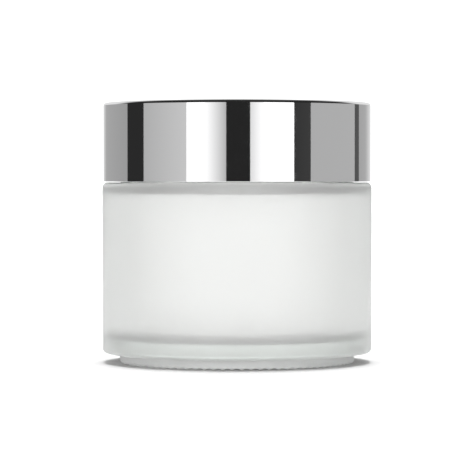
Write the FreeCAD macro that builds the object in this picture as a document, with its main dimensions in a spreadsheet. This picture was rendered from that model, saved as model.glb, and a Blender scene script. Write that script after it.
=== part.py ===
import FreeCAD, Part
import math
import os
from types import SimpleNamespace

import Sketcher

# A cosmetic cream jar: a heavy glass pot that stands on a slightly narrower foot, and a
# double-wall screw cap. All sizes are in millimetres. The origin is the middle of the plane
# that the jar stands on, +Z points up, and every piece is turned about the Z axis.
#
# Each piece is a PartDesign body. Its sketch holds half of its cross-section, with X as the
# radius and Y as the height, and every sketch dimension follows the "sizes" spreadsheet.

SIZES = {
    # glass jar, outside
    "body_radius": 35.0,
    "body_top": 46.78,
    "body_edge_round": 1.1,
    "shoulder_round": 1.3,
    "foot_radius": 30.5,
    "foot_height": 2.6,
    "foot_round": 1.0,
    "foot_crease_round": 0.5,
    # the shallow recess under the foot, which leaves a ring to stand on
    "recess_radius": 25.0,
    "recess_slope": 3.0,
    "recess_depth": 1.2,
    "recess_round": 1.0,
    # glass jar, inside
    "cavity_radius": 29.0,
    "cavity_floor": 6.2,
    "cavity_round": 3.0,
    "inner_shoulder_low": 43.9,
    "inner_shoulder_high": 46.2,
    "inner_shoulder_round": 0.8,
    # neck and its 63 mm, 6 turns per inch thread
    "neck_radius": 30.0,
    "mouth_radius": 27.0,
    "rim_height": 62.4,
    "rim_round": 0.9,
    "bead_height": 49.2,
    "bead_width": 2.0,
    "bead_crest_width": 0.8,
    "bead_reach": 0.8,
    "bead_round": 0.3,
    "thread_pitch": 4.233,
    "thread_turns": 1.25,
    "thread_start": 54.5,
    "thread_reach": 1.1,
    "thread_root_width": 2.4,
    "thread_crest_width": 1.2,
    "thread_sink": 0.4,
    # sealing disc, whose plug hangs in the mouth
    "disc_radius": 30.0,
    "disc_flange": 1.0,
    "disc_gap": 0.25,
    "plug_wall": 1.0,
    "plug_depth": 3.0,
    "web_drop": 1.0,
    "web_thickness": 1.0,
    "tab_length": 14.0,
    "tab_top_length": 9.0,
    "tab_thickness": 1.4,
    "tab_height": 1.9,
    # liner in the cap
    "liner_radius": 30.6,
    "liner_thickness": 1.5,
    "liner_round": 0.2,
    # threaded inner cap
    "inner_cap_bore": 31.5,
    "inner_cap_radius": 33.2,
    "inner_cap_bottom": 47.6,
    "inner_cap_plate": 1.3,
    "inner_cap_round": 0.4,
    "cap_thread_reach": 1.15,
    "cap_thread_root_width": 1.8,
    "cap_thread_crest_width": 0.9,
    "rib_reach": 0.4,
    "rib_width": 1.2,
    "rib_margin": 0.8,
    "rib_count": 36,
    # chromed outer cap
    "shell_radius": 34.8,
    "shell_wall": 1.1,
    "shell_bottom": 46.9,
    "shell_plate": 1.2,
    "shell_top_round": 0.8,
    "shell_edge_round": 0.15,
    "snap_bead_reach": 0.4,
    "snap_bead_width": 0.4,
    "snap_bead_slope": 0.12,
}

FULL_TURN = 360
SKETCH_ORIGIN = (-1, 1)
SKETCH_X_AXIS = -1
SKETCH_Y_AXIS = -2
EDGE_PLACE_TOLERANCE = 0.01
MM3_PER_CM3 = 1000


class Size:
    """A length: its number now, and the spreadsheet formula that keeps it bound."""

    def __init__(self, value, formula):
        self.value = value
        self.formula = formula

    def __add__(self, other):
        return Size(self.value + other.value, f"{self.formula} + {other.formula}")

    def __sub__(self, other):
        return Size(self.value - other.value, f"{self.formula} - ({other.formula})")

    def __mul__(self, factor):
        return Size(self.value * factor, f"({self.formula}) * {factor}")

    def __neg__(self):
        return Size(-self.value, f"-({self.formula})")


ZERO = Size(0.0, "0")


def make_sheet(doc):
    """Put the driving sizes in a spreadsheet and return them as bound sizes."""
    sheet = doc.addObject("Spreadsheet::Sheet", "sizes")
    bound = {}
    for row, (name, number) in enumerate(SIZES.items(), start=1):
        sheet.set(f"A{row}", name)
        sheet.set(f"B{row}", str(number))
        sheet.setAlias(f"B{row}", name)
        bound[name] = Size(number, f"sizes.{name}")
    doc.recompute()
    return SimpleNamespace(**bound)


def new_body(doc, name):
    body = doc.addObject("PartDesign::Body", name)
    body.Label = name
    doc.recompute()
    return body


def origin_plane(body, role):
    return next(feature for feature in body.Origin.OriginFeatures if feature.Role == role)


def sketch_outline(body, name, points, role="XZ_Plane"):
    """Draw a closed outline of straight edges whose corners follow the spreadsheet."""
    sketch = body.newObject("Sketcher::SketchObject", name)
    sketch.AttachmentSupport = [(origin_plane(body, role), "")]
    sketch.MapMode = "FlatFace"
    count = len(points)
    for index, (across, up) in enumerate(points):
        next_across, next_up = points[(index + 1) % count]
        start = FreeCAD.Vector(across.value, up.value, 0)
        end = FreeCAD.Vector(next_across.value, next_up.value, 0)
        sketch.addGeometry(Part.LineSegment(start, end), False)
    for index in range(count):
        sketch.addConstraint(Sketcher.Constraint("Coincident", index, 2, (index + 1) % count, 1))
    for index, (across, up) in enumerate(points):
        place_corner(sketch, index, "DistanceX", across)
        place_corner(sketch, index, "DistanceY", up)
    return sketch


def place_corner(sketch, index, kind, size):
    """Tie one coordinate of an edge's start to the sketch's origin."""
    if size is ZERO:
        axis = SKETCH_Y_AXIS if kind == "DistanceX" else SKETCH_X_AXIS
        sketch.addConstraint(Sketcher.Constraint("PointOnObject", index, 1, axis))
        return
    constraint = Sketcher.Constraint(kind, *SKETCH_ORIGIN, index, 1, size.value)
    number = sketch.addConstraint(constraint)
    sketch.setExpression(f"Constraints[{number}]", size.formula)


def turn(body, name, points):
    """Turn an outline of radius and height points into a solid of revolution."""
    sketch = sketch_outline(body, f"{name}_section", points)
    solid = body.newObject("PartDesign::Revolution", name)
    solid.Profile = sketch
    solid.ReferenceAxis = (sketch, ["V_Axis"])
    solid.Angle = FULL_TURN
    body.Document.recompute()
    return solid


def round_rings(body, name, radius, rings):
    """Round the circular edges that lie at the given (radius, height) places."""
    base = body.Tip
    wanted = [(across.value, up.value) for across, up in rings]
    edges = []
    for number, edge in enumerate(base.Shape.Edges, start=1):
        if not isinstance(edge.Curve, Part.Circle):
            continue
        ring = (edge.Curve.Radius, edge.Curve.Center.z)
        if any(math.dist(ring, place) < EDGE_PLACE_TOLERANCE for place in wanted):
            edges.append(f"Edge{number}")
    if len(edges) != len(rings):
        raise RuntimeError(f"{name} found {len(edges)} of {len(rings)} edges")
    fillet = body.newObject("PartDesign::Fillet", name)
    fillet.Base = (base, edges)
    fillet.Radius = radius.value
    fillet.setExpression("Radius", radius.formula)
    body.Document.recompute()
    return fillet


def add_thread(body, name, sizes, start, root, crest, root_width, crest_width):
    """Wind a right-hand thread ridge about Z, from the radius root to the radius crest."""
    half_root = root_width * 0.5
    half_crest = crest_width * 0.5
    ridge = [
        (root, start - half_root),
        (crest, start - half_crest),
        (crest, start + half_crest),
        (root, start + half_root),
    ]
    sketch = sketch_outline(body, f"{name}_ridge", ridge)
    helix = body.newObject("PartDesign::AdditiveHelix", name)
    helix.Profile = sketch
    helix.ReferenceAxis = (sketch, ["V_Axis"])
    helix.Mode = "pitch-turns-angle"
    helix.Pitch = sizes.thread_pitch.value
    helix.Turns = sizes.thread_turns.value
    helix.setExpression("Pitch", sizes.thread_pitch.formula)
    helix.setExpression("Turns", sizes.thread_turns.formula)
    helix.LeftHanded = False
    body.Document.recompute()
    return helix


def make_glass_jar(doc, sizes):
    """The pot: foot, straight body, shoulder and threaded neck round one wide cavity."""
    body = new_body(doc, "glass_jar")
    recess_top = sizes.recess_radius - sizes.recess_slope
    bead_radius = sizes.neck_radius + sizes.bead_reach
    bead_low = sizes.bead_height - sizes.bead_width * 0.5
    bead_high = sizes.bead_height + sizes.bead_width * 0.5
    crest_low = sizes.bead_height - sizes.bead_crest_width * 0.5
    crest_high = sizes.bead_height + sizes.bead_crest_width * 0.5
    turn(body, "jar_blank", [
        (ZERO, sizes.recess_depth),
        (recess_top, sizes.recess_depth),
        (sizes.recess_radius, ZERO),
        (sizes.foot_radius, ZERO),
        (sizes.foot_radius, sizes.foot_height),
        (sizes.body_radius, sizes.foot_height),
        (sizes.body_radius, sizes.body_top),
        (sizes.neck_radius, sizes.body_top),
        (sizes.neck_radius, bead_low),
        (bead_radius, crest_low),
        (bead_radius, crest_high),
        (sizes.neck_radius, bead_high),
        (sizes.neck_radius, sizes.rim_height),
        (sizes.mouth_radius, sizes.rim_height),
        (sizes.mouth_radius, sizes.inner_shoulder_high),
        (sizes.cavity_radius, sizes.inner_shoulder_low),
        (sizes.cavity_radius, sizes.cavity_floor),
        (ZERO, sizes.cavity_floor),
    ])
    round_rings(body, "cavity_corner", sizes.cavity_round, [
        (sizes.cavity_radius, sizes.cavity_floor),
    ])
    round_rings(body, "inner_shoulder", sizes.inner_shoulder_round, [
        (sizes.cavity_radius, sizes.inner_shoulder_low),
        (sizes.mouth_radius, sizes.inner_shoulder_high),
    ])
    round_rings(body, "shoulder_edge", sizes.shoulder_round, [
        (sizes.body_radius, sizes.body_top),
    ])
    round_rings(body, "body_edge", sizes.body_edge_round, [
        (sizes.body_radius, sizes.foot_height),
    ])
    round_rings(body, "foot_edge", sizes.foot_round, [
        (sizes.foot_radius, ZERO),
    ])
    round_rings(body, "recess_edges", sizes.recess_round, [
        (recess_top, sizes.recess_depth),
        (sizes.recess_radius, ZERO),
    ])
    round_rings(body, "creases", sizes.foot_crease_round, [
        (sizes.foot_radius, sizes.foot_height),
        (sizes.neck_radius, sizes.body_top),
    ])
    round_rings(body, "rim", sizes.rim_round, [
        (sizes.neck_radius, sizes.rim_height),
        (sizes.mouth_radius, sizes.rim_height),
    ])
    round_rings(body, "bead_edges", sizes.bead_round, [
        (bead_radius, crest_low),
        (bead_radius, crest_high),
    ])
    add_thread(
        body, "jar_thread", sizes,
        start=sizes.thread_start,
        root=sizes.neck_radius - sizes.thread_sink,
        crest=sizes.neck_radius + sizes.thread_reach,
        root_width=sizes.thread_root_width,
        crest_width=sizes.thread_crest_width,
    )
    return body


def make_sealing_disc(doc, sizes):
    """The snap-in disc: a flange on the rim, a plug in the mouth and a grip tab."""
    body = new_body(doc, "sealing_disc")
    rim = sizes.rim_height
    top = rim + sizes.disc_flange
    plug_radius = sizes.mouth_radius - sizes.disc_gap
    plug_bore = plug_radius - sizes.plug_wall
    plug_bottom = rim - sizes.plug_depth
    web_top = rim - sizes.web_drop
    web_bottom = web_top - sizes.web_thickness
    turn(body, "disc_blank", [
        (ZERO, web_bottom),
        (plug_bore, web_bottom),
        (plug_bore, plug_bottom),
        (plug_radius, plug_bottom),
        (plug_radius, rim),
        (sizes.disc_radius, rim),
        (sizes.disc_radius, top),
        (plug_bore, top),
        (plug_bore, web_top),
        (ZERO, web_top),
    ])
    round_rings(body, "flange_edges", sizes.liner_round, [
        (sizes.disc_radius, rim),
        (sizes.disc_radius, top),
        (plug_radius, plug_bottom),
    ])
    tab_top = web_top + sizes.tab_height
    half_length = sizes.tab_length * 0.5
    half_top = sizes.tab_top_length * 0.5
    sketch = sketch_outline(body, "tab_outline", [
        (-half_length, web_bottom),
        (half_length, web_bottom),
        (half_length, web_top),
        (half_top, tab_top),
        (-half_top, tab_top),
        (-half_length, web_top),
    ])
    tab = body.newObject("PartDesign::Pad", "grip_tab")
    tab.Profile = sketch
    tab.Midplane = True
    tab.Length = sizes.tab_thickness.value
    tab.setExpression("Length", sizes.tab_thickness.formula)
    doc.recompute()
    return body


def liner_bottom(sizes):
    """The liner lies on the disc's flange when the jar is closed."""
    return sizes.rim_height + sizes.disc_flange


def make_cap_liner(doc, sizes):
    """The foam wad glued in the cap, which presses on the disc."""
    body = new_body(doc, "cap_liner")
    bottom = liner_bottom(sizes)
    top = bottom + sizes.liner_thickness
    turn(body, "liner_blank", [
        (ZERO, bottom),
        (sizes.liner_radius, bottom),
        (sizes.liner_radius, top),
        (ZERO, top),
    ])
    round_rings(body, "liner_edges", sizes.liner_round, [
        (sizes.liner_radius, bottom),
        (sizes.liner_radius, top),
    ])
    return body


def make_inner_cap(doc, sizes):
    """The threaded cap inside the chromed shell, with ribs that the shell grips."""
    body = new_body(doc, "inner_cap")
    plate_bottom = liner_bottom(sizes) + sizes.liner_thickness
    plate_top = plate_bottom + sizes.inner_cap_plate
    turn(body, "inner_cap_blank", [
        (ZERO, plate_bottom),
        (sizes.inner_cap_bore, plate_bottom),
        (sizes.inner_cap_bore, sizes.inner_cap_bottom),
        (sizes.inner_cap_radius, sizes.inner_cap_bottom),
        (sizes.inner_cap_radius, plate_top),
        (ZERO, plate_top),
    ])
    round_rings(body, "inner_cap_edges", sizes.inner_cap_round, [
        (sizes.inner_cap_bore, sizes.inner_cap_bottom),
        (sizes.inner_cap_radius, plate_top),
    ])
    add_ribs(body, sizes, plate_top)
    add_thread(
        body, "cap_thread", sizes,
        start=sizes.thread_start - sizes.thread_pitch * 0.5,
        root=sizes.inner_cap_bore + sizes.thread_sink,
        crest=sizes.inner_cap_bore - sizes.cap_thread_reach,
        root_width=sizes.cap_thread_root_width,
        crest_width=sizes.cap_thread_crest_width,
    )
    return body


def add_ribs(body, sizes, plate_top):
    """Stand a ring of upright ribs on the outside of the inner cap."""
    rib_low = sizes.inner_cap_bottom + sizes.rib_margin
    rib_high = plate_top - sizes.rib_margin
    rib_root = sizes.inner_cap_radius - sizes.inner_cap_round
    rib_crest = sizes.inner_cap_radius + sizes.rib_reach
    sketch = sketch_outline(body, "rib_outline", [
        (rib_root, rib_low),
        (rib_crest, rib_low),
        (rib_crest, rib_high),
        (rib_root, rib_high),
    ])
    rib = body.newObject("PartDesign::Pad", "rib")
    rib.Profile = sketch
    rib.Midplane = True
    rib.Length = sizes.rib_width.value
    rib.setExpression("Length", sizes.rib_width.formula)
    body.Document.recompute()
    ribs = body.newObject("PartDesign::PolarPattern", "ribs")
    ribs.Originals = [rib]
    ribs.Axis = (origin_plane(body, "Z_Axis"), [""])
    ribs.Angle = FULL_TURN
    ribs.setExpression("Occurrences", sizes.rib_count.formula)
    body.Tip = ribs
    body.Document.recompute()


def make_outer_cap(doc, sizes):
    """The chromed shell, whose inner bead snaps under the inner cap's lower edge."""
    body = new_body(doc, "outer_cap")
    plate_bottom = liner_bottom(sizes) + sizes.liner_thickness + sizes.inner_cap_plate
    top = plate_bottom + sizes.shell_plate
    bore = sizes.shell_radius - sizes.shell_wall
    bead_radius = bore - sizes.snap_bead_reach
    bead_low = sizes.shell_bottom + sizes.shell_edge_round
    bead_high = bead_low + sizes.snap_bead_width
    turn(body, "shell_blank", [
        (ZERO, plate_bottom),
        (bore, plate_bottom),
        (bore, bead_high),
        (bead_radius, bead_high - sizes.snap_bead_slope),
        (bead_radius, bead_low),
        (bead_radius + sizes.shell_edge_round, sizes.shell_bottom),
        (sizes.shell_radius, sizes.shell_bottom),
        (sizes.shell_radius, top),
        (ZERO, top),
    ])
    round_rings(body, "shell_top_edge", sizes.shell_top_round, [
        (sizes.shell_radius, top),
    ])
    round_rings(body, "shell_lower_edge", sizes.shell_edge_round, [
        (sizes.shell_radius, sizes.shell_bottom),
    ])
    return body


def check_document(doc):
    """Stop if any object failed to build."""
    for item in doc.Objects:
        if "Invalid" in item.State or "Error" in item.State:
            raise RuntimeError(f"{item.Label} is {item.State}")


def write_piece(body):
    """Check one finished piece and write it as a STEP file named after it."""
    shape = body.Shape
    if shape.isNull() or not shape.isValid() or len(shape.Solids) != 1:
        raise RuntimeError(f"{body.Label} is not one valid solid")
    shape.exportStep(f"parts/{body.Label}.step")
    box = shape.BoundBox
    print(f"{body.Label}: {shape.Volume / MM3_PER_CM3:.2f} cm3, z {box.ZMin:.2f} to {box.ZMax:.2f}")


def main():
    doc = FreeCAD.newDocument("cream_jar")
    sizes = make_sheet(doc)
    makers = [
        make_glass_jar,
        make_sealing_disc,
        make_cap_liner,
        make_inner_cap,
        make_outer_cap,
    ]
    pieces = [make(doc, sizes) for make in makers]
    doc.recompute()
    check_document(doc)
    os.makedirs("parts", exist_ok=True)
    for piece in pieces:
        write_piece(piece)


main()
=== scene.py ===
"""Looks of a frosted-glass cream jar with a mirror-chrome screw cap, built round its CAD frame."""

import math

import bpy
import numpy as np
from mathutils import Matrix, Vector


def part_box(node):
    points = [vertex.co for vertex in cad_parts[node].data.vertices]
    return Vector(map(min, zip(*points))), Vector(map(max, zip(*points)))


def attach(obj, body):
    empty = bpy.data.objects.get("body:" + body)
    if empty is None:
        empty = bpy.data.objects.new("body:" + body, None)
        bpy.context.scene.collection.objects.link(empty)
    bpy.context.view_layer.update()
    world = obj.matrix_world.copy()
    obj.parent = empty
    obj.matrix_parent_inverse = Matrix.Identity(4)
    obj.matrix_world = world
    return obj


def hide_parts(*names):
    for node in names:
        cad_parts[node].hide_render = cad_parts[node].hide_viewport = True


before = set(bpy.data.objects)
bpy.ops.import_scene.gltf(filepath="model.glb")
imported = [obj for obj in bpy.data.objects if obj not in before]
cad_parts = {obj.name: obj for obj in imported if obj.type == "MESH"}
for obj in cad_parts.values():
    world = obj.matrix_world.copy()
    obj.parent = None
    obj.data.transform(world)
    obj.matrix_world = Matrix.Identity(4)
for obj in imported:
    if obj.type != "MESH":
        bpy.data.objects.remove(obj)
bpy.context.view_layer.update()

MM = 0.001

# Sizes that the CAD frame gives.
JAR_LOW, JAR_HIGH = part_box("glass_jar")
SHELL_LOW, SHELL_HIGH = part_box("outer_cap")

# Jar, in metres.
BODY_RADIUS = JAR_HIGH.x
RIM = JAR_HIGH.z
BODY_TOP = 46.78 * MM
FOOT_RADIUS = 30.5 * MM
FOOT_HEIGHT = 2.6 * MM
RECESS_RADIUS = 25.0 * MM
RECESS_DEPTH = 1.2 * MM
RECESS_SLOPE = 3.0 * MM
RECESS_TOP_ROUND = 1.0 * MM
RECESS_EDGE_ROUND = 0.4 * MM
RECESS_ROW_STEP = 0.4 * MM
FOOT_CREASE_ROUND = 0.5 * MM
HEEL_ROUND = 1.1 * MM
SHOULDER_ROUND = 1.3 * MM
NECK_CREASE_ROUND = 0.5 * MM
CAVITY_RADIUS = 29.0 * MM
CAVITY_FLOOR = 6.2 * MM
INNER_SHOULDER_LOW = 43.9 * MM
INNER_SHOULDER_HIGH = 46.2 * MM
NECK_RADIUS = 30.0 * MM
MOUTH_RADIUS = 27.0 * MM
BEAD_HEIGHT = 49.2 * MM
BEAD_REACH = 0.8 * MM
BEAD_FOOT_HALF = 1.0 * MM
BEAD_TOP_HALF = 0.4 * MM
BEAD_ROUND = 0.3 * MM
NECK_ROW_STEP = 0.25 * MM
RIM_ROUND = 0.9 * MM
INNER_SHOULDER_ROUND = 0.8 * MM
CAVITY_FLOOR_ROUND = 3.0 * MM

# Thread on the neck.
PITCH = 4.233 * MM
THREAD_START = 54.5 * MM
THREAD_TURNS = 1.25
THREAD_REACH = 1.1 * MM
THREAD_ROOT = 2.4 * MM
THREAD_CREST = 1.0 * MM
THREAD_RUNOUT = 0.09

# Stippled standing ring under the foot.
KNURLS = 80
KNURL_HEIGHT = 0.3 * MM
KNURL_IN = 26.0 * MM
FOOT_ROUND = 0.45 * MM
JAR_SEGMENTS = KNURLS * 6

# Chromed shell.
SHELL_WALL = 1.1 * MM
SHELL_PLATE = 1.2 * MM
SHELL_TOP_ROUND = 0.8 * MM
SHELL_LIP_ROUND = 0.15 * MM
SHELL_BORE_ROUND = 0.3 * MM
SNAP_REACH = 0.4 * MM
SNAP_START = 0.55 * MM
SNAP_CREST = 0.43 * MM
SNAP_ROUND = 0.08 * MM
SHELL_SEGMENTS = 360


def smooth(share):
    """Ease from 0 to 1 for a share that may run past both ends."""
    share = np.clip(share, 0.0, 1.0)
    return share * share * (3.0 - 2.0 * share)


# --- turned meshes -------------------------------------------------------------------------

ARC_STEP = math.radians(9.0)


def corner_arc(before, corner, after, rounding):
    """Points of the arc that rounds one corner of an outline, tangent to both its runs."""
    into = (before - corner).normalized()
    away = (after - corner).normalized()
    half = into.angle(away) / 2.0
    centre = corner + (into + away).normalized() * (rounding / math.sin(half))
    start = corner + into * (rounding / math.tan(half)) - centre
    sweep = start.angle_signed(corner + away * (rounding / math.tan(half)) - centre)
    steps = max(2, math.ceil(abs(sweep) / ARC_STEP))
    points = []
    for step in range(steps + 1):
        turn = -sweep * step / steps
        cos, sin = math.cos(turn), math.sin(turn)
        points.append(centre + Vector((start.x * cos - start.y * sin, start.x * sin + start.y * cos)))
    return points


def outline(corners):
    """Rows (radius, height, finish) through corners (radius, height, rounding, finish, row step).

    finish is a number that the run after the corner carries to its material, and row step is
    the largest distance between rows on that run, or 0 for no rows between its ends.
    """
    places = [Vector(corner[:2]) for corner in corners]
    rows = []
    for index, (_, _, rounding, finish, _) in enumerate(corners):
        if rounding > 0.0:
            points = corner_arc(places[index - 1], places[index], places[index + 1], rounding)
        else:
            points = [places[index]]
        if rows:
            last = Vector(rows[-1][:2])
            step = corners[index - 1][4]
            cuts = math.ceil((points[0] - last).length / step) if step else 1
            for cut in range(1, cuts):
                place = last.lerp(points[0], cut / cuts)
                rows.append((place.x, place.y, corners[index - 1][3]))
        rows.extend((point.x, point.y, finish) for point in points)
    return rows


def lathe(name, rows, segments, relief=None):
    """Turn rows about Z into a closed mesh. relief moves a row's points in or out and up or down."""
    angles = np.arange(segments) * (2.0 * math.pi / segments)
    verts, rings, finishes = [], [], []
    for radius, height, finish in rows:
        first = len(verts)
        if radius < 1e-7:
            verts.append((0.0, 0.0, height))
            rings.append([first] * segments)
            finishes.append(finish)
            continue
        out, up = relief(radius, height, angles) if relief else (0.0, 0.0)
        radii = radius + out * np.ones(segments)
        heights = height + up * np.ones(segments)
        verts.extend(zip(radii * np.cos(angles), radii * np.sin(angles), heights))
        rings.append(list(range(first, first + segments)))
        finishes.extend([finish] * segments)
    faces = []
    for low, high in zip(rings, rings[1:]):
        for j in range(segments):
            k = (j + 1) % segments
            loop = [low[j], low[k], high[k], high[j]]
            faces.append(list(dict.fromkeys(loop)))
    mesh = bpy.data.meshes.new(name)
    mesh.from_pydata([tuple(map(float, v)) for v in verts], [], faces)
    mesh.validate()
    mesh.shade_smooth()
    mesh.attributes.new("finish", "FLOAT", "POINT").data.foreach_set("value", finishes)
    piece = bpy.data.objects.new(name, mesh)
    bpy.context.scene.collection.objects.link(piece)
    normals = piece.modifiers.new("normals", "WEIGHTED_NORMAL")
    normals.mode = "FACE_AREA"
    normals.weight = 80
    return piece


def ridge(height, angles, start, reach, root, crest):
    """How far a right-hand thread stands out at one height, with ends that run out smoothly."""
    total = np.zeros_like(angles)
    for lap in range(2):
        travel = angles / (2.0 * math.pi) + lap
        off = np.abs(height - start - PITCH * travel)
        side = (root / 2.0 - off) / (root / 2.0 - crest / 2.0)
        ends = np.minimum(travel, THREAD_TURNS - travel) / THREAD_RUNOUT
        total = np.maximum(total, reach * smooth(side) * smooth(ends))
    return total


# --- pieces --------------------------------------------------------------------------------

# How heavily a surface is etched. Only the glass reads it, and the shell leaves it CLEAR.
CLEAR, FROSTED, HEAVY = 0.0, 1.0, 2.0


def jar_relief(radius, height, angles):
    """The neck's thread and the knurled ring under the foot."""
    if height < KNURL_HEIGHT + FOOT_ROUND and radius > RECESS_RADIUS:
        off_bar = np.abs(2.0 * ((angles * KNURLS / (2.0 * math.pi)) % 1.0) - 1.0)
        bars = smooth(1.1 - 1.5 * off_bar)
        inner_end = float(smooth((radius - KNURL_IN) / MM + 0.5))
        up_edge = float(smooth(1.0 - (height - KNURL_HEIGHT) / FOOT_ROUND))
        return 0.0, -KNURL_HEIGHT * bars * inner_end * up_edge
    if height > BODY_TOP + 2.0 * MM and radius > NECK_RADIUS - 0.02 * MM:
        return ridge(height, angles, THREAD_START, THREAD_REACH, THREAD_ROOT, THREAD_CREST), 0.0
    return 0.0, 0.0


def make_jar():
    """One moulding of heavy glass: knurled foot, straight body, shoulder and threaded neck."""
    base = KNURL_HEIGHT
    bead = NECK_RADIUS + BEAD_REACH
    rows = outline([
        (0.0, RECESS_DEPTH, 0.0, FROSTED, 0.0),
        (RECESS_RADIUS - RECESS_SLOPE, RECESS_DEPTH, RECESS_TOP_ROUND, FROSTED, 0.0),
        (RECESS_RADIUS, base, RECESS_EDGE_ROUND, FROSTED, RECESS_ROW_STEP),
        (FOOT_RADIUS, base, FOOT_ROUND, HEAVY, 0.0),
        (FOOT_RADIUS, FOOT_HEIGHT, FOOT_CREASE_ROUND, HEAVY, 0.0),
        (BODY_RADIUS, FOOT_HEIGHT, HEEL_ROUND, FROSTED, 0.0),
        (BODY_RADIUS, BODY_TOP, SHOULDER_ROUND, FROSTED, 0.0),
        (NECK_RADIUS, BODY_TOP, NECK_CREASE_ROUND, CLEAR, 0.0),
        (NECK_RADIUS, BEAD_HEIGHT - BEAD_FOOT_HALF, 0.0, CLEAR, 0.0),
        (bead, BEAD_HEIGHT - BEAD_TOP_HALF, BEAD_ROUND, CLEAR, 0.0),
        (bead, BEAD_HEIGHT + BEAD_TOP_HALF, BEAD_ROUND, CLEAR, 0.0),
        (NECK_RADIUS, BEAD_HEIGHT + BEAD_FOOT_HALF, 0.0, CLEAR, NECK_ROW_STEP),
        (NECK_RADIUS, RIM, RIM_ROUND, CLEAR, 0.0),
        (MOUTH_RADIUS, RIM, RIM_ROUND, CLEAR, 0.0),
        (MOUTH_RADIUS, INNER_SHOULDER_HIGH, INNER_SHOULDER_ROUND, CLEAR, 0.0),
        (CAVITY_RADIUS, INNER_SHOULDER_LOW, INNER_SHOULDER_ROUND, CLEAR, 0.0),
        (CAVITY_RADIUS, CAVITY_FLOOR, CAVITY_FLOOR_ROUND, CLEAR, 0.0),
        (0.0, CAVITY_FLOOR, 0.0, CLEAR, 0.0),
    ])
    piece = lathe("frosted_jar", rows, JAR_SEGMENTS, jar_relief)
    piece.data.materials.append(frosted_glass())
    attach(piece, "jar")
    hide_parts("glass_jar")


def make_shell():
    """The chromed shell of the cap: mirror outside, with a snap bead inside its lower edge."""
    bottom, top = SHELL_LOW.z, SHELL_HIGH.z
    radius = SHELL_HIGH.x
    bore = radius - SHELL_WALL
    rows = outline([
        (0.0, top - SHELL_PLATE, 0.0, CLEAR, 0.0),
        (bore, top - SHELL_PLATE, SHELL_BORE_ROUND, CLEAR, 0.0),
        (bore, bottom + SNAP_START, 0.0, CLEAR, 0.0),
        (bore - SNAP_REACH, bottom + SNAP_CREST, SNAP_ROUND, CLEAR, 0.0),
        (bore - SNAP_REACH, bottom, SHELL_LIP_ROUND, CLEAR, 0.0),
        (radius, bottom, SHELL_LIP_ROUND, CLEAR, 0.0),
        (radius, top, SHELL_TOP_ROUND, CLEAR, 0.0),
        (0.0, top, 0.0, CLEAR, 0.0),
    ])
    piece = lathe("chrome_shell", rows, SHELL_SEGMENTS)
    piece.data.materials.append(chrome())
    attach(piece, "cap")
    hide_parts("outer_cap")


# --- materials -----------------------------------------------------------------------------


def new_material(name):
    """A node material with a Principled shader already on its output."""
    material = bpy.data.materials.new(name)
    material.use_nodes = True
    nodes = material.node_tree.nodes
    nodes.clear()
    output = nodes.new("ShaderNodeOutputMaterial")
    shader = nodes.new("ShaderNodeBsdfPrincipled")
    material.node_tree.links.new(shader.outputs[0], output.inputs["Surface"])
    return material, shader, output


def add(material, kind, **settings):
    """A new node. A setting that names an input sets its number, and any other an attribute."""
    node = material.node_tree.nodes.new(kind)
    for key, value in settings.items():
        if key in node.inputs:
            node.inputs[key].default_value = value
        else:
            setattr(node, key, value)
    return node


def link(material, source, target):
    material.node_tree.links.new(source, target)


def spread(material, value, low, high, from_low=0.0, from_high=1.0):
    """Map a value from one range to another, held at its ends."""
    node = add(material, "ShaderNodeMapRange")
    link(material, value, node.inputs["Value"])
    node.inputs["From Min"].default_value = from_low
    node.inputs["From Max"].default_value = from_high
    node.inputs["To Min"].default_value = low
    node.inputs["To Max"].default_value = high
    return node.outputs["Result"]


def noise(material, scale, detail=2.0):
    """Noise in object space, in cells per metre."""
    place = add(material, "ShaderNodeTexCoord")
    node = add(material, "ShaderNodeTexNoise", Scale=scale, Detail=detail)
    link(material, place.outputs["Object"], node.inputs["Vector"])
    return node.outputs[0]


def bump(material, shader, height, distance, strength=1.0):
    node = add(material, "ShaderNodeBump", Strength=strength, Distance=distance)
    link(material, height, node.inputs["Height"])
    link(material, node.outputs["Normal"], shader.inputs["Normal"])


def frosted_glass():
    """Acid-frosted outside, clear inside and on the neck, faintly green in its depth."""
    material, shader, output = new_material("frosted_glass")
    finish = add(material, "ShaderNodeAttribute", attribute_name="finish")
    etch = finish.outputs["Fac"]
    rough = spread(material, etch, 0.04, 0.68, CLEAR, HEAVY)
    link(material, rough, shader.inputs["Roughness"])
    open_share = spread(material, etch, 1.0, 0.40, CLEAR, HEAVY)
    link(material, open_share, shader.inputs["Transmission Weight"])
    shader.inputs["Base Color"].default_value = (0.85, 0.85, 0.845, 1.0)
    shader.inputs["IOR"].default_value = 1.5
    grain = noise(material, 4500.0)
    bump(material, shader, grain, 0.02 * MM, 0.3)
    depth = add(material, "ShaderNodeVolumeAbsorption", Color=(0.34, 0.66, 0.46, 1.0), Density=4.0)
    link(material, depth.outputs["Volume"], output.inputs["Volume"])
    return material


def chrome():
    """Metallised plastic: a bright mirror with the faint unevenness of the moulding under it."""
    material, shader, _ = new_material("chrome")
    shader.inputs["Metallic"].default_value = 1.0
    shader.inputs["Base Color"].default_value = (0.89, 0.89, 0.895, 1.0)
    haze = noise(material, 260.0, 4.0)
    link(material, spread(material, haze, 0.025, 0.05, 0.35, 0.7), shader.inputs["Roughness"])
    bump(material, shader, noise(material, 60.0, 1.0), 0.004 * MM, 0.5)
    return material


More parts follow.
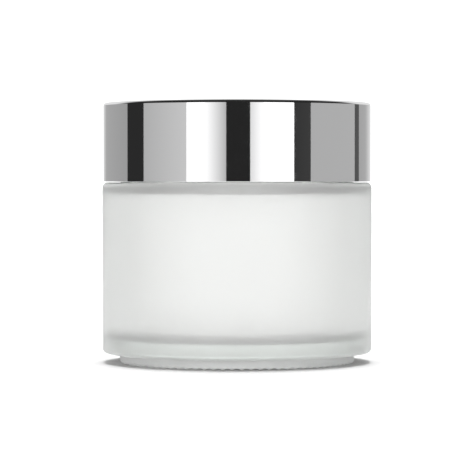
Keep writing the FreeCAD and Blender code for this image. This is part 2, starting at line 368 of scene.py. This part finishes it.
def white_plastic():
    """Moulded white polypropylene."""
    material, shader, _ = new_material("white_plastic")
    shader.inputs["Base Color"].default_value = (0.87, 0.87, 0.85, 1.0)
    shader.inputs["Subsurface Weight"].default_value = 0.15
    shader.inputs["Subsurface Radius"].default_value = (1.2 * MM, 1.0 * MM, 0.9 * MM)
    shader.inputs["Subsurface Scale"].default_value = 1.0
    haze = noise(material, 900.0, 3.0)
    link(material, spread(material, haze, 0.28, 0.42, 0.35, 0.7), shader.inputs["Roughness"])
    bump(material, shader, noise(material, 2500.0), 0.01 * MM, 0.3)
    return material


def milky_plastic():
    """Natural polyethylene of the sealing disc, which lets some light through."""
    material, shader, _ = new_material("milky_plastic")
    shader.inputs["Base Color"].default_value = (0.90, 0.92, 0.92, 1.0)
    shader.inputs["Subsurface Weight"].default_value = 0.6
    shader.inputs["Subsurface Radius"].default_value = (2.2 * MM, 2.2 * MM, 2.4 * MM)
    shader.inputs["Subsurface Scale"].default_value = 1.0
    haze = noise(material, 700.0, 3.0)
    link(material, spread(material, haze, 0.38, 0.55, 0.35, 0.7), shader.inputs["Roughness"])
    bump(material, shader, noise(material, 1800.0), 0.02 * MM, 0.3)
    return material


def foam():
    """Closed-cell polyethylene foam, with its small cells just showing through the skin."""
    material, shader, _ = new_material("foam")
    place = add(material, "ShaderNodeTexCoord")
    cells = add(material, "ShaderNodeTexVoronoi", Scale=2600.0)
    link(material, place.outputs["Object"], cells.inputs["Vector"])
    tint = add(material, "ShaderNodeValToRGB")
    tint.color_ramp.elements[0].color = (0.80, 0.80, 0.78, 1.0)
    tint.color_ramp.elements[1].color = (0.92, 0.92, 0.91, 1.0)
    link(material, cells.outputs["Distance"], tint.inputs["Fac"])
    link(material, tint.outputs["Color"], shader.inputs["Base Color"])
    shader.inputs["Roughness"].default_value = 0.75
    bump(material, shader, cells.outputs["Distance"], 0.05 * MM, 0.6)
    return material


def dress(node, material):
    """Give a CAD node its finish."""
    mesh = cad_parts[node].data
    mesh.materials.clear()
    mesh.materials.append(material)


# --- studio --------------------------------------------------------------------------------

CARD_DISTANCE = 3.0
CARD_LOW = -0.06
CARD_HIGH = 0.30
CEILING_TOP = 3.0
CEILING_SIDES = 72
CEILING_BEND_ACROSS = 0.8
CEILING_BEND_HEIGHT = 1.5
CEILING_APEX_LEVEL = 0.04
CEILING_DARK = 0.02
CEILING_GAIN = 0.8


def only_in_mirrors(item):
    """Keep a studio card out of everything but glossy reflections."""
    item.visible_camera = False
    item.visible_diffuse = False
    item.visible_transmission = False
    item.visible_volume_scatter = False
    item.visible_shadow = False


def card_material():
    """Light of a studio card, as bright as its mesh says."""
    material = bpy.data.materials.new("studio_card")
    material.use_nodes = True
    nodes = material.node_tree.nodes
    nodes.clear()
    output = nodes.new("ShaderNodeOutputMaterial")
    light = nodes.new("ShaderNodeEmission")
    level = nodes.new("ShaderNodeAttribute")
    level.attribute_name = "level"
    material.node_tree.links.new(level.outputs["Fac"], light.inputs["Strength"])
    material.node_tree.links.new(light.outputs[0], output.inputs["Surface"])
    return material


def card(name, start, end, level_start, level_end, material):
    """A curved upright card from one bearing to another, in degrees right of the camera."""
    steps = max(1, round(abs(end - start) / 2.0))
    verts, levels, faces = [], [], []
    for step in range(steps + 1):
        share = step / steps
        bearing = math.radians(start + (end - start) * share)
        x = CARD_DISTANCE * math.sin(bearing)
        y = -CARD_DISTANCE * math.cos(bearing)
        verts += [(x, y, CARD_LOW), (x, y, CARD_HIGH)]
        levels += [level_start + (level_end - level_start) * share] * 2
    for step in range(steps):
        first = step * 2
        faces.append((first, first + 2, first + 3, first + 1))
    mesh = bpy.data.meshes.new(name)
    mesh.from_pydata(verts, [], faces)
    mesh.attributes.new("level", "FLOAT", "POINT").data.foreach_set("value", levels)
    mesh.materials.append(material)
    item = bpy.data.objects.new(name, mesh)
    bpy.context.scene.collection.objects.link(item)
    only_in_mirrors(item)


def make_cards():
    """Softboxes, grey walls and black flags round the jar, under a canopy."""
    material = card_material()
    cards = [
        ("backdrop_left", -180.0, -169.0, 0.9, 0.9),
        ("backdrop_left_fade", -169.0, -152.0, 0.9, 0.45),
        ("wall_far_left", -152.0, -107.0, 0.42, 0.36),
        ("flag_left", -107.0, -86.0, 0.025, 0.025),
        ("wall_left", -86.0, -43.0, 0.47, 0.62),
        ("softbox_left", -43.0, -27.0, 1.4, 1.4),
        ("softbox_left_fade", -27.0, -9.0, 1.2, 0.5),
        ("flag_middle", -9.0, 11.0, 0.02, 0.02),
        ("softbox_right_fade", 11.0, 22.0, 0.8, 1.2),
        ("softbox_right", 22.0, 49.0, 1.4, 1.4),
        ("flag_right", 49.0, 65.0, 0.04, 0.05),
        ("wall_right", 65.0, 120.0, 0.46, 0.47),
        ("gap_right", 120.0, 128.0, 0.09, 0.10),
        ("wall_far_right", 128.0, 143.0, 0.40, 0.43),
        ("backdrop_right_fade", 143.0, 170.0, 0.43, 0.9),
        ("backdrop_right", 170.0, 180.0, 0.9, 0.9),
    ]
    for name, start, end, level_start, level_end in cards:
        card(name, start, end, level_start, level_end, material)
    make_ceiling(material)


def make_ceiling(material):
    """A wide canopy over the cards, dark in front of the jar and light behind it."""
    count = CEILING_SIDES
    verts = [(0.0, 0.0, CEILING_TOP)]
    levels = [CEILING_APEX_LEVEL]
    for step in range(count):
        share = 2.0 * step / count - 1.0
        bearing = math.pi * share
        for across, height in ((1.0, CARD_HIGH), (CEILING_BEND_ACROSS, CEILING_BEND_HEIGHT)):
            x = CARD_DISTANCE * across * math.sin(bearing)
            y = -CARD_DISTANCE * across * math.cos(bearing)
            verts.append((x, y, height))
            levels.append(CEILING_DARK + CEILING_GAIN * float(smooth(7.0 * abs(share) - 4.1)))
    faces = []
    for step in range(count):
        low, ahead = 1 + 2 * step, 1 + 2 * ((step + 1) % count)
        faces.append((low, ahead, ahead + 1, low + 1))
        faces.append((low + 1, ahead + 1, 0))
    mesh = bpy.data.meshes.new("ceiling")
    mesh.from_pydata(verts, [], faces)
    mesh.attributes.new("level", "FLOAT", "POINT").data.foreach_set("value", levels)
    mesh.materials.append(material)
    item = bpy.data.objects.new("ceiling", mesh)
    bpy.context.scene.collection.objects.link(item)
    only_in_mirrors(item)


FLOOR_SIZE = 20.0
FLOOR_WHITE = 0.6


def make_floor():
    """A wide, plain, matt pale floor."""
    size = FLOOR_SIZE
    mesh = bpy.data.meshes.new("floor")
    corners = [(-size, -size, 0), (size, -size, 0), (size, size, 0), (-size, size, 0)]
    mesh.from_pydata(corners, [], [(0, 1, 2, 3)])
    material, shader, _ = new_material("floor_white")
    shader.inputs["Base Color"].default_value = (FLOOR_WHITE, FLOOR_WHITE, FLOOR_WHITE, 1.0)
    shader.inputs["Roughness"].default_value = 1.0
    shader.inputs["Specular IOR Level"].default_value = 0.0
    mesh.materials.append(material)
    floor = bpy.data.objects.new("floor", mesh)
    bpy.context.scene.collection.objects.link(floor)
    # Mirrors see the white world below the cards instead of the floor.
    floor.visible_glossy = False


def make_light(name, bearing, distance, height, size, level):
    """A square soft light that faces the jar, at a bearing in degrees right of the camera.

    level is the brightness that it gives a white surface that faces it from the jar.
    """
    turn = math.radians(bearing)
    target = Vector((0.0, 0.0, (JAR_LOW.z + JAR_HIGH.z) / 2.0))
    data = bpy.data.lights.new(name, "AREA")
    data.size = size
    place = Vector((distance * math.sin(turn), -distance * math.cos(turn), height))
    away = (place - target).length
    data.energy = level * math.pi * math.pi * away * away
    item = bpy.data.objects.new(name, data)
    item.location = place
    item.rotation_euler = (target - place).to_track_quat("-Z", "Y").to_euler()
    item.visible_glossy = False
    item.visible_transmission = False
    bpy.context.scene.collection.objects.link(item)


def make_overhead(level, spread_angle, lean):
    """An even light from above, which leans towards the camera's side on its way down.

    level is the brightness that it gives a level white surface. Both angles are in degrees.
    """
    data = bpy.data.lights.new("overhead", "SUN")
    data.angle = math.radians(spread_angle)
    data.energy = level * math.pi
    item = bpy.data.objects.new("overhead", data)
    item.rotation_euler = (-math.radians(lean), 0.0, 0.0)
    item.visible_glossy = False
    item.visible_transmission = False
    bpy.context.scene.collection.objects.link(item)


def make_lights():
    """A soft light over the jar, and two softboxes in front of it."""
    make_overhead(level=1.3, spread_angle=24.0, lean=5.0)
    make_light("front_left", bearing=-30.0, distance=1.6, height=0.25, size=0.6, level=0.35)
    make_light("front_right", bearing=32.0, distance=1.6, height=0.25, size=0.6, level=0.25)


WORLD_SIDES = 0.0
WORLD_BACK = 1.5


def make_world():
    """White all round, brightest behind the jar and dark straight to its left and right."""
    world = bpy.data.worlds.new("studio")
    world.use_nodes = True
    background = world.node_tree.nodes["Background"]
    background.inputs["Color"].default_value = (1.0, 1.0, 1.0, 1.0)
    place = add(world, "ShaderNodeTexCoord")
    parts = add(world, "ShaderNodeSeparateXYZ")
    link(world, place.outputs["Generated"], parts.inputs[0])
    aside = add(world, "ShaderNodeMath", operation="ABSOLUTE")
    link(world, parts.outputs["X"], aside.inputs[0])
    level = add(world, "ShaderNodeMath", operation="MULTIPLY")
    link(world, spread(world, aside.outputs[0], 1.0, WORLD_SIDES, 0.7, 0.95), level.inputs[0])
    link(world, spread(world, parts.outputs["Y"], 1.0, WORLD_BACK, 0.3, 0.8), level.inputs[1])
    link(world, level.outputs[0], background.inputs["Strength"])
    bpy.context.scene.world = world


CAMERA_DISTANCE = 0.673
CAMERA_HEIGHT = 0.0469
CAMERA_PITCH = math.radians(1.22)
CAMERA_LENS = 196.2
CAMERA_SENSOR = 36.0


def make_camera():
    """A long lens level with the cap's lower edge, tipped down a little to centre the jar."""
    data = bpy.data.cameras.new("camera")
    data.lens = CAMERA_LENS
    data.sensor_width = CAMERA_SENSOR
    camera = bpy.data.objects.new("camera", data)
    camera.location = (0.0, -CAMERA_DISTANCE, CAMERA_HEIGHT)
    camera.rotation_euler = (math.pi / 2.0 - CAMERA_PITCH, 0.0, 0.0)
    bpy.context.scene.collection.objects.link(camera)
    bpy.context.scene.camera = camera


def set_light_paths():
    """Let light bounce often enough in the thick glass, and show colours as they are."""
    scene = bpy.context.scene
    scene.cycles.max_bounces = 24
    scene.cycles.glossy_bounces = 12
    scene.cycles.transmission_bounces = 20
    scene.view_settings.view_transform = "Standard"


make_camera()
make_world()
make_floor()
make_cards()
make_lights()
set_light_paths()
make_jar()
make_shell()
dress("inner_cap", white_plastic())
dress("sealing_disc", milky_plastic())
dress("cap_liner", foam())
